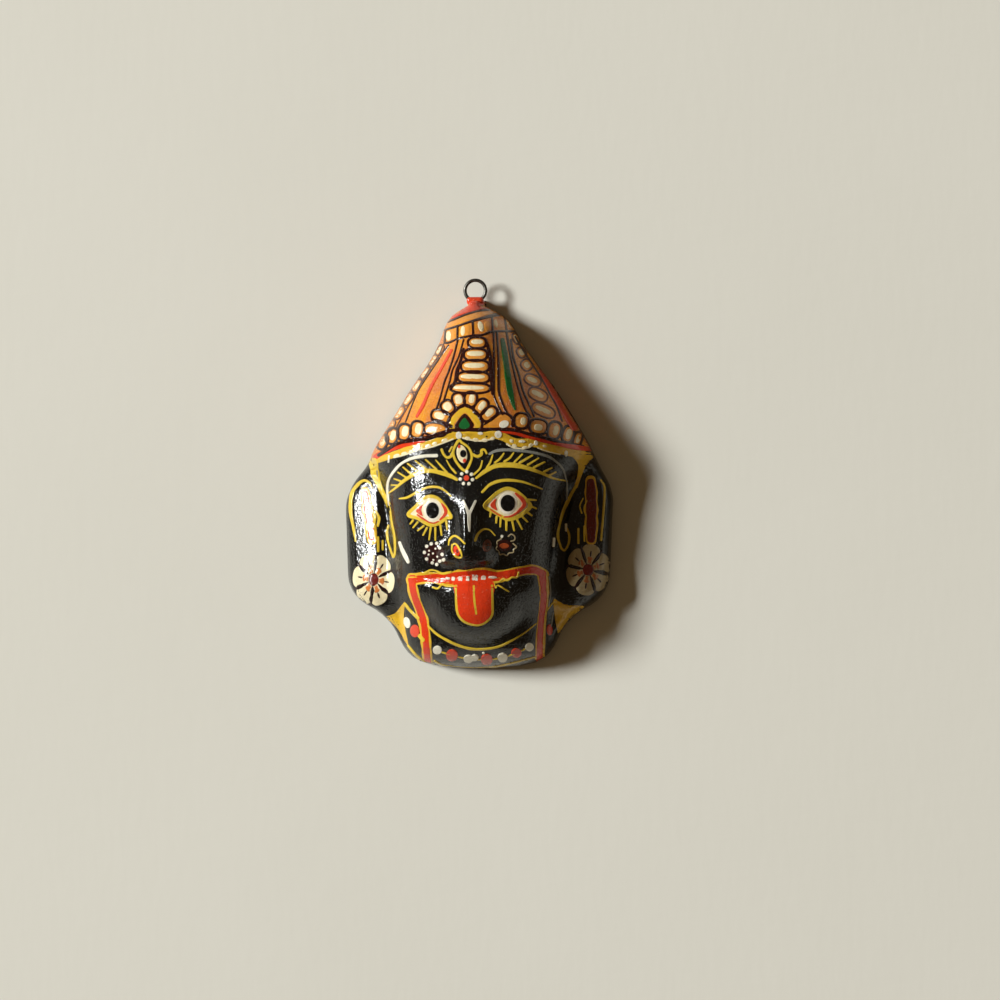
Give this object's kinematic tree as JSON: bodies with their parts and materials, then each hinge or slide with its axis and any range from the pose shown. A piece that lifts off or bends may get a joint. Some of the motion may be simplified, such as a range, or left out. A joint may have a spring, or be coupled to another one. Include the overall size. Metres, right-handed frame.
{
  "type": "pattachitra mask",
  "caption": "Small hollow papier-mache mask of a crowned black face with its tongue out, open at the flat back, with a wire eye to hang it.",
  "frame": {"origin": "middle of the whole length and width, on the plane of the open flat back that the mask lies on", "axes": "+Z out of the face, +Y towards the tip of the crown, +X towards the viewer's right"},
  "size_m": [0.0691, 0.1, 0.0314],
  "materials": {
    "lacquered_paper": "papier-mache painted by hand in black, orange, yellow, red, cream and green, under glossy varnish",
    "steel_wire": "dull dark bent wire"
  },
  "bodies": {
    "root": {"mask_shell": "lacquered_paper", "hanging_loop": "steel_wire"}
  },
  "joints": []
}
